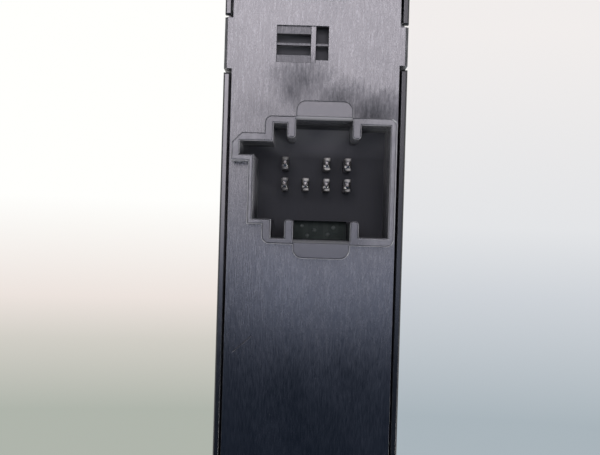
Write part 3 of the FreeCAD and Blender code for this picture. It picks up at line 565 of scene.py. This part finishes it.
def housing_finish():
    """Fine grained dark plastic with soft edges, a glossy sloping foot and dull outer walls, with painted
    light on worn edges and the inner left wall.
    """
    finish, shader = start_finish("housing_grain")
    place, facing = place_on(finish), facing_of(finish)
    clouds = noise(finish, 4.0, detail=4.0, seed=4.0)
    tone = shaded(finish, HOUSING_COLOUR, vary(finish, clouds, 0.8, 1.2))
    edges = edge_wear(finish, 0.1)
    # Worn edges; their paleness grows towards the upper end as painted light.
    worn = calc(finish, "MULTIPLY", edges, spread(finish, place["X"], *WEAR_PALER_TO_LIT_END, 0.01, 0.10))
    dull = calc(finish, "MULTIPLY", edges, spread(finish, place["X"], *DULL_ENDS, 0.30, 0.0))
    # Painted light: the inner left wall, seen in the gap beside the plate, is painted pale, more towards
    # the upper end.
    painted_gap_light = calc(finish, "MULTIPLY", walls_facing(finish, facing["Y"], 1.0),
               spread(finish, place["Y"], *LEFT_GAP), spread(finish, place["X"], *GAP_LIGHTENS))
    foot = vary(finish, noise(finish, 1.5, detail=3.0, seed=6.0), 0.12, 0.18)
    walls = spread(finish, facing["Z"], -0.6, -0.3, 0.0, WALL_ROUGH)
    grain = noise(finish, 0.14, seed=8.0)
    colour = blend_colours(finish, worn, tone, HOUSING_WEAR_AND_LIGHT)
    fill(finish, shader, {
        "Base Color": blend_colours(finish, painted_gap_light, colour, PALE_WALL_PAINTED_LIGHT),
        "Roughness": calc(finish, "MAXIMUM", calc(finish, "ADD", foot, dull), walls),
        "IOR": PLASTIC_IOR,
        "Normal": relief(finish, grain, 0.006, 0.5, foot_normal(finish, place)),
    })
    return finish


housing = housing_finish()
print("housing finish nodes:", len(housing.node_tree.nodes))

# %% [markdown]
# ## Painted glints on the blades
#
# The tips of the blades are painted dark, with small pale matte spots that are painted glints. Every
# blade has the same spots, so they are described once, about the middle of one blade, and a wrapped
# coordinate repeats them with the pitch of the blades. Each spot is given by its middle, its reach along
# and across, both in millimetres, and how strong it is.

# %% Painted glints on the tips of the blades
PITCH = (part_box("terminal_5")[0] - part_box("terminal_4")[0]).length
GLINT_SPOTS = [((0.57, 0.05), (0.28, 0.42), 0.95), ((-0.30, -0.32), (0.15, 0.22), 1.0),
              ((-0.66, 0.10), (0.23, 0.38), 0.72), ((0.28, -0.08), (0.34, 0.34), 0.17)]
SPOT_FADE = (1.15, 0.25)
SPOT_HEIGHT = (0.5 * MM, 0.4 * MM)


def painted_glint_spots(finish):
    """1 where a blade's tip has a painted glint, in a few small spots, and 0 elsewhere."""
    low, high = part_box("terminal_4")
    middle = (low + high) / 2
    place = place_on(finish)
    local = []
    for axis, centre in zip("XY", middle[:2]):
        away = calc(finish, "SUBTRACT", place[axis], centre)
        wrapped = add(finish, "Math", {0: away, 1: PITCH / 2, 2: -PITCH / 2}, operation="WRAP")
        local.append(wrapped.outputs["Value"])
    total = 0.0
    for centre, halves, amount in GLINT_SPOTS:
        offsets = [calc(finish, "DIVIDE", calc(finish, "SUBTRACT", value, spot * MM), half * MM)
                   for value, spot, half in zip(local, centre, halves)]
        away = add(finish, "CombineXYZ", {"X": offsets[0], "Y": offsets[1]}).outputs["Vector"]
        glint = spread(finish, length_of(finish, away), *SPOT_FADE, 0.0, amount)
        total = calc(finish, "MAXIMUM", total, glint)
    start, end = SPOT_HEIGHT
    return calc(finish, "MULTIPLY", total, spread(finish, place["Z"], low.z + start, low.z + end))


print("pitch of the blades:", round(PITCH / MM, 2), "mm")

# %% [markdown]
# ## Metals
#
# Metal is all reflection: its colour tints what it mirrors, and fine lines from drawing, stamping or
# grinding stretch its highlights. One recipe serves the blades, screws, axle, springs, contacts and
# cans, with the direction of the lines given by how the noise is stretched. On the blades, the flat end
# is painted dark and the bevels partly dark, as painted shade for a dark reflection, and a few pale
# matte spots are painted glints. The glints are weaker on the column of blades on the left.

# %% Metal
BLADE_STAIN_AND_SHADE = (0.055, 0.053, 0.050)
BEVEL_SHADE = 0.35
LEFT_COLUMN = (-2.6 * MM, -2.2 * MM)
LEFT_COLUMN_GLINT = 0.48
SPOT_METALLIC_LOSS = 0.65
SPOT_ROUGH = 0.4


def metal(name, colour, rough, lines=(1.0, 1.0, 1.0), line_size=0.12, depth=0.003,
          stain=(0.6, 0.55, 0.5), painted_tip=False, edge=0.05):
    """A metal with fine lines, stretched along the direction with the smallest number, and faint stains.

    For the blades' tips, the end that points down is painted dark, as painted shade for a dark reflection,
    with a few pale matte spots as painted glints.
    """
    finish, shader = start_finish(name)
    marks = noise(finish, line_size, detail=3.0, stretch=lines, seed=2.0)
    stains_and_shade = spread(finish, noise(finish, 0.9, detail=4.0, seed=5.0), 0.52, 0.75, 0.0, 0.5)
    glint_share, metallic = 0.0, 1.0
    if painted_tip:
        facing = facing_of(finish)
        # Painted shade: the flat end, and partly the bevels, are painted dark for a dark reflection.
        flat_end = spread(finish, facing["Z"], -0.95, -0.99)
        bevels = spread(finish, facing["Z"], -0.3, -0.5, 0.0, BEVEL_SHADE)
        # Painted glints: pale matte spots on the tips, weaker on the left column.
        glint_share = calc(finish, "MULTIPLY", painted_glint_spots(finish),
                     spread(finish, place_on(finish)["Y"], *LEFT_COLUMN, LEFT_COLUMN_GLINT, 1.0))
        stains_and_shade = calc(finish, "MULTIPLY", calc(finish, "MAXIMUM", stains_and_shade, flat_end, bevels),
                      calc(finish, "SUBTRACT", 1.0, glint_share))
        metallic = calc(finish, "SUBTRACT", 1.0, calc(finish, "MULTIPLY", glint_share, SPOT_METALLIC_LOSS))
    stained = tuple(part * share for part, share in zip(colour, stain)) + (1.0,)
    fill(finish, shader, {
        "Base Color": blend_colours(finish, stains_and_shade, colour + (1.0,), stained),
        "Metallic": metallic,
        "Roughness": calc(finish, "ADD", spread(finish, marks, 0.25, 0.75, rough - 0.06, rough + 0.10),
                          calc(finish, "MULTIPLY", glint_share, SPOT_ROUGH)),
        "Normal": relief(finish, marks, depth, 0.6, rounded(finish, edge, samples=8)),
    })
    return finish


metals = {
    "terminal": metal("blade_tin", (0.80, 0.78, 0.75), 0.22, lines=(1.0, 1.0, 0.08), line_size=0.08,
                      depth=0.001, stain=BLADE_STAIN_AND_SHADE, painted_tip=True, edge=0.26),
    "board_screws": metal("screw_zinc", (0.62, 0.62, 0.64), 0.30),
    "rocker_axle": metal("axle_ground", (0.66, 0.66, 0.68), 0.20, lines=(1.0, 0.1, 1.0)),
    "plunger_spring": metal("spring_wire", (0.55, 0.55, 0.57), 0.26),
    "contact_bridge": metal("contact_brass", (0.80, 0.62, 0.33), 0.28, lines=(1.0, 0.08, 1.0)),
    "fixed_contacts": metal("pad_gold", (0.86, 0.66, 0.33), 0.22),
    "capacitors": metal("can_drawn", (0.70, 0.70, 0.72), 0.27, lines=(1.0, 1.0, 0.08)),
}
print("metals:", len(metals))

# %% [markdown]
# ## Board, chip, lamp and clear pieces
#
# The board is glass cloth under a green lacquer. Its copper tracks show as lanes of another shade, which
# a grid of bricks gives without drawing each one. The lens and the light guide carry light to the
# rocker's symbol, so they let light through, and the lamp is a white body with a soft yellow window.

# %% Finishes of the electrical pieces
LACQUER = (0.040, 0.052, 0.046, 1.0)
LACQUER_ON_COPPER = (0.031, 0.042, 0.037, 1.0)
WEAVE_COLOUR = (0.052, 0.068, 0.060, 1.0)
LED_WINDOW = (0.34, 0.26)
LED_YELLOW = (0.82, 0.62, 0.16, 1.0)


def board_finish():
    """Green lacquer over a weave, with lanes of another shade where copper lies under it."""
    finish, shader = start_finish("board_lacquer")
    lanes = add(finish, "TexBrick", {
        "Vector": place_of(finish, (1.0, 1.0, 0.0)), "Color1": grey(1.0), "Color2": grey(0.75),
        "Mortar": grey(0.0), "Scale": 620.0, "Mortar Size": 0.22, "Mortar Smooth": 0.2,
        "Brick Width": 3.1, "Row Height": 0.8}, offset=0.37).outputs["Fac"]
    weave = noise(finish, 0.5, stretch=(1.0, 0.4, 1.0), seed=3.0)
    threads = spread(finish, weave, 0.4, 0.7, 0.0, 0.35)
    base = blend_colours(finish, lanes, LACQUER, LACQUER_ON_COPPER)
    fill(finish, shader, {
        "Base Color": blend_colours(finish, threads, base, WEAVE_COLOUR),
        "Roughness": vary(finish, weave, 0.6, 0.75),
        "IOR": 1.3,
        "Normal": relief(finish, lanes, 0.02, 0.5),
    })
    return finish


def clear_finish(name, tint, rough, through):
    """A clear or milky plastic: through says how much light it passes."""
    finish, shader = start_finish(name)
    haze = noise(finish, 1.0, detail=3.0)
    fill(finish, shader, {
        "Base Color": blend_colours(finish, vary(finish, haze, 0.0, 0.3), tint, grey(0.8)),
        "Roughness": vary(finish, haze, rough, rough + 0.08),
        "Transmission Weight": through,
        "IOR": 1.49,
        "Normal": relief(finish, noise(finish, 0.3, detail=1.0), 0.003, 0.3),
    })
    return finish


def lamp_finish():
    """A white lamp body with a soft yellow window in the middle of its top."""
    finish, shader = start_finish("lamp_window")
    low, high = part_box("led")
    centre = (low + high) / 2
    away = length_of(finish, place_of(finish, (1.0, 1.0, 0.0), centre=(centre.x, centre.y, 0.0)))
    window = spread(finish, away, *(share * (high.x - low.x) for share in LED_WINDOW))
    fill(finish, shader, {
        "Base Color": blend_colours(finish, window, grey(0.8, (1.0, 0.99, 0.96)), LED_YELLOW),
        "Roughness": spread(finish, window, 0.0, 1.0, 0.45, 0.2),
        "Normal": relief(finish, noise(finish, 0.1), 0.004, 0.3),
    })
    return finish


electrical = {
    "circuit_board": board_finish(),
    "control_chip": moulded("chip_moulded", (0.022, 0.022, 0.024), 0.5, grain=0.06, wear=0.1),
    "resistors": moulded("resistor_ceramic", (0.045, 0.045, 0.05), 0.3, grain=0.06, wear=0.5),
    "led": lamp_finish(),
    "symbol_lens": clear_finish("lens_milky", grey(0.86, (0.98, 1.0, 1.0)), 0.16, 0.55),
    "light_guide": clear_finish("guide_clear", grey(0.95), 0.06, 0.92),
}
print("electrical finishes:", len(electrical))

# %% [markdown]
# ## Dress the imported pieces
#
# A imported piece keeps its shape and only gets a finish. Pieces that come in numbers, such as
# terminal_1 to terminal_7 or the front and rear plungers, share the finish of their kind, so each name
# is matched without its number or its end.

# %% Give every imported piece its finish
finishes = {"base_plate": plate, "housing": housing, **moulded_finishes, **metals, **electrical}


def kind_of(name):
    """The kind of a piece, without its number or which end it is at."""
    parts = name.split("_")
    return "_".join(parts[:-1]) if parts[-1].isdigit() or parts[-1] in ("front", "rear") else name


for name, piece in nodes.items():
    piece.data.materials.clear()
    piece.data.materials.append(finishes[kind_of(name)])
print("dressed:", len(nodes))

# %% [markdown]
# ## Making small pieces
#
# The pieces that are added here are built with bmesh, which holds a mesh while its operators shape it.
# Each builder makes its shape in place and hands it to one function that turns it into an object, gives
# it a finish and lets it ride on the body that carries it.

# %% Turn a bmesh into a piece
def as_piece(shape, name, finish, body="module", smooth=True):
    """An object at the origin from a finished bmesh, riding on a body."""
    bmesh.ops.remove_doubles(shape, verts=shape.verts, dist=1e-7)
    bmesh.ops.recalc_face_normals(shape, faces=shape.faces)
    mesh = bpy.data.meshes.new(name)
    shape.to_mesh(mesh)
    shape.free()
    for face in mesh.polygons:
        face.use_smooth = smooth
    mesh.materials.append(finish)
    piece = bpy.data.objects.new(name, mesh)
    bpy.context.scene.collection.objects.link(piece)
    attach(piece, body)
    print(name, len(mesh.polygons), "faces")
    return piece


# %% [markdown]
# ## Solder
#
# Solder wets the blade and the board, so a joint is a little cone with hollow sides. Its outline is a
# short curve that is spun about the blade. On the board's underside, each place where a lead comes
# through is a low dot under the lacquer, so it is dull. Through the open latch bay of the socket, a few
# of them can be seen. Their places are given in millimetres.

# %% Solder joints on the blades and dots on the board
SOLDER_REACH = 0.85 * MM
SOLDER_RISE = 0.72 * MM
SOLDER_FOOT = 0.03 * MM
SOLDER_HOLLOW = 1.8
SOLDER_TOP = 0.30
SOLDER_STEPS = 6
DOTS = [(9.1, 2.9), (8.2, 2.2), (8.7, 0.5), (9.2, -1.1), (8.0, -0.4)]
DOT_RADIUS = 0.26 * MM
DOT_FLATNESS = 0.5
BLADES = [name for name in nodes if kind_of(name) == "terminal"]
solder = metal("solder_bright", (0.74, 0.74, 0.75), 0.22, line_size=0.3)


def solder_cone(shape, centre):
    """A hollow sided cone of solder on top of the board, spun about its middle."""
    outline = [shape.verts.new((centre.x + SOLDER_REACH, centre.y, board_top - SOLDER_FOOT))]
    for step in range(SOLDER_STEPS + 1):
        share = step / SOLDER_STEPS
        out = SOLDER_REACH * ((1.0 - share) ** SOLDER_HOLLOW + SOLDER_TOP * share)
        outline.append(shape.verts.new((centre.x + out, centre.y, board_top + SOLDER_RISE * share)))
    edges = [shape.edges.new(pair) for pair in zip(outline, outline[1:])]
    bmesh.ops.spin(shape, geom=outline + edges, cent=(centre.x, centre.y, board_top),
                   axis=(0.0, 0.0, 1.0), angle=math.tau, steps=20, use_merge=True)


def add_solder_joints():
    """One joint around each blade, on top of the board."""
    shape = bmesh.new()
    for name in BLADES:
        low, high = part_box(name)
        solder_cone(shape, (low + high) / 2)
    bmesh.ops.holes_fill(shape, edges=[edge for edge in shape.edges if edge.is_boundary])
    return as_piece(shape, "solder_joints", solder)


solder_joints = add_solder_joints()


def add_solder_dots():
    """A few small domes of solder on the underside of the board, where leads come through."""
    shape = bmesh.new()
    flatten = Matrix.Diagonal((1.0, 1.0, DOT_FLATNESS, 1.0))
    for x, y in DOTS:
        place = Matrix.Translation((x * MM, y * MM, board_low)) @ flatten
        bmesh.ops.create_uvsphere(shape, u_segments=16, v_segments=10, radius=DOT_RADIUS, matrix=place)
    hidden = [face for face in shape.faces if face.calc_center_median().z > board_low + SOLDER_FOOT]
    bmesh.ops.delete(shape, geom=hidden, context="FACES")
    bmesh.ops.holes_fill(shape, edges=[edge for edge in shape.edges if edge.is_boundary])
    finish = moulded("solder_lacquered", (0.10, 0.12, 0.11), 0.6, grain=0.06, wear=0.0, soft_edge=False)
    return as_piece(shape, "solder_dots", finish)


solder_dots = add_solder_dots()

# %% [markdown]
# ## Grey sheet behind the latch window
#
# Light that falls through the two openings of the latch window stops at a grey surface close behind
# them. It is a sheet that stands in for the dim shade seen through the window, not a part of the switch.
# It lies on the plate's inner ribs, a little larger than the window, with rounded corners.

# %% Grey sheet behind the window
SHEET_LOW = Vector((28.2, -6.0, 7.15)) * MM
SHEET_HIGH = Vector((34.4, 2.6, 7.75)) * MM
SHEET_CORNER = 0.8 * MM


def add_shade_sheet():
    """A thin flat grey sheet with rounded corners, which stands in for shade."""
    shape = bmesh.new()
    middle, size = (SHEET_LOW + SHEET_HIGH) / 2, SHEET_HIGH - SHEET_LOW
    place = Matrix.Translation(middle) @ Matrix.Diagonal((*size, 1.0))
    bmesh.ops.create_cube(shape, size=1.0, matrix=place)
    upright = [edge for edge in shape.edges
               if abs(edge.verts[0].co.z - edge.verts[1].co.z) > 0.5 * size.z]
    bmesh.ops.bevel(shape, geom=upright, offset=SHEET_CORNER, segments=6, profile=0.5, affect="EDGES")
    # Its grey stands in for the dim shade behind the window.
    finish = moulded("shade_sheet_grey", (0.085, 0.088, 0.094), 0.7, grain=0.1, wear=0.0, soft_edge=False)
    return as_piece(shape, "window_shade_sheet", finish, smooth=False)


window_shade_sheet = add_shade_sheet()

# %% [markdown]
# ## Springs copied in place
#
# Each plunger stands on a coil spring. The imported springs are rigid, so a pressed plunger would cut
# through its spring. Each is copied, the copy takes its place, and the imported spring is hidden.


def add_spring(end):
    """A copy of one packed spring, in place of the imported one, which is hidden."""
    name = "plunger_spring_" + end
    shape = bmesh.new()
    shape.from_mesh(nodes[name].data)
    spring = as_piece(shape, "coil_" + end, finishes["plunger_spring"])
    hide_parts(name)
    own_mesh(spring)
    return spring


springs = [add_spring("front"), add_spring("rear")]

# %% [markdown]
# ## Floor
#
# The module stands on a pale floor, and the picture looks at it from below, as if the floor were glass.
# So the floor's material lets a ray through when it comes from underneath. It also lets light through to
# the plate, and lets the plate mirror the lamp below, but only right under the module. From above, the
# floor looks and shades as a plain pale surface.

# %% Floor
FLOOR_SIZE = 6.0
OPEN_HALF = (65.0 * MM, 32.0 * MM)
OPEN_FADE = 0.8


def floor_finish():
    """A pale surface from above that is open from below and right under the module."""
    finish, shader = start_finish("floor_pale")
    path = add(finish, "LightPath").outputs
    behind = add(finish, "NewGeometry").outputs["Backfacing"]
    place = place_on(finish)
    hole = calc(finish, "SUBTRACT", 1.0, path["Is Camera Ray"])
    for axis, half in zip("XY", OPEN_HALF):
        reach = positive(finish, place[axis])
        hole = calc(finish, "MULTIPLY", hole, spread(finish, reach, half, OPEN_FADE * half))
    clear = calc(finish, "MAXIMUM", behind, path["Is Shadow Ray"], hole)
    clouds = noise(finish, 90.0, detail=3.0)
    fill(finish, shader, {
        "Base Color": blend_colours(finish, clouds, grey(0.80), grey(0.84)),
        "Roughness": 0.6,
    })
    through = add(finish, "BsdfTransparent")
    mixed = add(finish, "MixShader", {0: clear, 1: shader.outputs[0], 2: through.outputs[0]})
    output = finish.node_tree.nodes["Material Output"]
    finish.node_tree.links.new(mixed.outputs[0], output.inputs["Surface"])
    return finish


def add_floor():
    """A wide plane under the module."""
    shape = bmesh.new()
    bmesh.ops.create_grid(shape, x_segments=1, y_segments=1, size=FLOOR_SIZE / 2)
    mesh = bpy.data.meshes.new("floor")
    shape.to_mesh(mesh)
    shape.free()
    mesh.materials.append(floor_finish())
    floor = bpy.data.objects.new("floor", mesh)
    bpy.context.scene.collection.objects.link(floor)
    return floor


floor = add_floor()
print("floor:", FLOOR_SIZE, "m wide")

# %% [markdown]
# ## World
#
# The room is plain. What the camera and mirror-like surfaces see is a pale backdrop, which turns grey
# green and grey blue towards one end, as in the picture. Below the module the room is dim, and that is
# what the plate mirrors where the lamp's reflection ends. Rays that only gather soft light find a room
# that is brighter towards the horizon, so walls that face sideways are not left black.

# %% World
BACKDROP_LEFT = [(0.45, (1.0, 1.0, 0.98)), (0.71, (0.84, 0.77, 0.73)), (0.82, (0.64, 0.62, 0.57)),
                 (1.0, (0.43, 0.46, 0.41))]
BACKDROP_RIGHT = [(0.0, (0.88, 0.85, 0.84)), (0.50, (0.77, 0.78, 0.80)), (0.68, (0.62, 0.65, 0.69)),
                  (1.0, (0.40, 0.46, 0.50))]
BACKDROP_ALONG = (0.17, -0.16)
BACKDROP_ACROSS = (-0.05, 0.05)
OVERHEAD = (0.75, 0.93)
UNDERFOOT = (-0.05, -0.25)
SIDEWAYS = (0.55, 0.15)
ROOM_PALE = grey(0.90)
ROOM_BELOW = grey(0.077, (0.58, 1.03, 1.90))
SOFT_FILL = grey(0.30)
SOFT_SIDES = grey(1.3)


def colour_ramp(owner, share, stops):
    """A ramp through the given colours."""
    node = add(owner, "ValToRGB", {"Fac": share})
    ramp = node.color_ramp
    while len(ramp.elements) < len(stops):
        ramp.elements.new(0.5)
    for element, (position, colour) in zip(ramp.elements, stops):
        element.position = position
        element.color = colour + (1.0,)
    return node.outputs["Color"]


def build_world():
    """A plain room with a backdrop over the module, dim below it."""
    world = bpy.data.worlds.new("room")
    world.use_nodes = True
    bpy.context.scene.world = world
    path = add(world, "LightPath").outputs
    direction = parts_of(world, add(world, "TexCoord").outputs["Generated"])
    share = spread(world, direction["X"], *BACKDROP_ALONG)
    side = spread(world, direction["Y"], *BACKDROP_ACROSS)
    backdrop = blend_colours(world, side, colour_ramp(world, share, BACKDROP_LEFT),
                             colour_ramp(world, share, BACKDROP_RIGHT))
    above = blend_colours(world, spread(world, direction["Z"], *OVERHEAD), ROOM_PALE, backdrop)
    room = blend_colours(world, spread(world, direction["Z"], *UNDERFOOT), above, ROOM_BELOW)
    seen = calc(world, "MAXIMUM", path["Is Camera Ray"], path["Is Glossy Ray"],
                path["Is Transmission Ray"])
    sideways = spread(world, positive(world, direction["Z"]), *SIDEWAYS)
    soft = blend_colours(world, sideways, SOFT_FILL, SOFT_SIDES)
    background = world.node_tree.nodes["Background"]
    fill(world, background, {"Color": blend_colours(world, seen, soft, room), "Strength": 1.0})
    return world


room = build_world()
print("world nodes:", len(room.node_tree.nodes))

# %% [markdown]
# ## Lamps
#
# A plastic this dark shows mostly what it mirrors. The picture's light patch at the top of the plate is
# the blurred reflection of a broad light, and its lower edge falls across the socket. So a large soft
# lamp lies below the module, past the end that shows at the top of the picture. Colour ramps make its
# glow fade along its length and at its sides. Two small low lamps graze the walls of the socket, and two
# more soft lamps light the bezel side.

# %% Lamps
LAMP_FOOT = (0.36, 0.26)


def add_lamp(name, place, target, size, watts, colour):
    """A rectangular soft lamp that faces a point, its second side along X. Lengths in millimetres."""
    data = bpy.data.lights.new(name, "AREA")
    data.shape = "RECTANGLE"
    data.size, data.size_y = (side * MM for side in size)
    data.energy = watts
    data.color = colour
    lamp = bpy.data.objects.new(name, data)
    start = Vector(place) * MM
    back = (start - Vector(target) * MM).normalized()
    across = Vector((1.0, 0.0, 0.0)).cross(back).normalized()
    turn = Matrix((across, back.cross(across), back)).transposed().to_4x4()
    lamp.matrix_world = Matrix.Translation(start) @ turn
    lamp.visible_camera = False
    bpy.context.scene.collection.objects.link(lamp)
    return lamp


def fade(lamp, along_stops, across_stops, foot_stops):
    """Makes a lamp's glow change along its second side and across it, with other stops at its foot."""
    light = lamp.data
    light.use_nodes = True
    parts = parts_of(light, add(light, "NewGeometry").outputs["Parametric"])
    along = colour_ramp(light, parts["Y"], along_stops)
    across = blend_colours(light, spread(light, parts["Y"], *LAMP_FOOT),
                           colour_ramp(light, parts["X"], across_stops),
                           colour_ramp(light, parts["X"], foot_stops))
    both = add(light, "VectorMath", {0: along, 1: across}, operation="MULTIPLY").outputs["Vector"]
    fill(light, light.node_tree.nodes["Emission"], {"Color": both})
    return lamp


def glow(level, coolness=0.0):
    """A lamp's colour at a level, turned towards blue by the coolness."""
    return (level * (1.0 - 0.6 * coolness), level, level * (1.0 + coolness))


GLOW_ALONG = [(0.08, glow(0.0)), (0.137, glow(0.065, 0.34)), (0.20, glow(0.23, 0.24)),
              (0.245, glow(0.345, 0.20)), (0.30, glow(0.32, 0.14)), (0.42, glow(0.35, 0.04)),
              (0.53, glow(0.55)), (0.66, glow(0.77)), (0.75, glow(0.82)), (0.84, glow(0.98)),
              (1.0, glow(1.0))]
GLOW_ACROSS = [(0.0, glow(0.92)), (0.32, glow(0.95)), (0.36, glow(1.0)), (0.71, glow(1.0)),
               (0.86, glow(0.36)), (1.0, glow(0.26))]
GLOW_ACROSS_FOOT = [(0.0, glow(0.18)), (0.31, glow(0.22)), (0.35, glow(1.16)), (0.44, glow(1.0)),
                    (0.54, glow(0.80)), (0.66, glow(1.10)), (0.74, glow(0.75)), (1.0, glow(0.25))]
lamps = [
    fade(add_lamp("lamp_below", (40.0, 10.0, -400.0), (40.0, 10.0, 0.0), (240.0, 220.0), 1.5,
                  (1.0, 0.94, 1.03)), GLOW_ALONG, GLOW_ACROSS, GLOW_ACROSS_FOOT),
    add_lamp("lamp_low_right", (-130.0, 300.0, -250.0), (15.0, 0.0, 5.0), (120.0, 120.0), 0.7,
             (1.0, 0.98, 0.98)),
    add_lamp("lamp_low_left", (-230.0, -240.0, -260.0), (15.0, 0.0, 5.0), (70.0, 70.0), 0.35,
             (1.0, 0.97, 0.94)),
    add_lamp("lamp_above_left", (-260.0, -330.0, 420.0), (0.0, 0.0, 20.0), (260.0, 260.0), 5.5,
             (1.0, 0.98, 0.95)),
    add_lamp("lamp_above_right", (320.0, 260.0, 380.0), (0.0, 0.0, 20.0), (240.0, 240.0), 3.2,
             (0.95, 0.98, 1.0)),
]
print("lamps:", len(lamps))
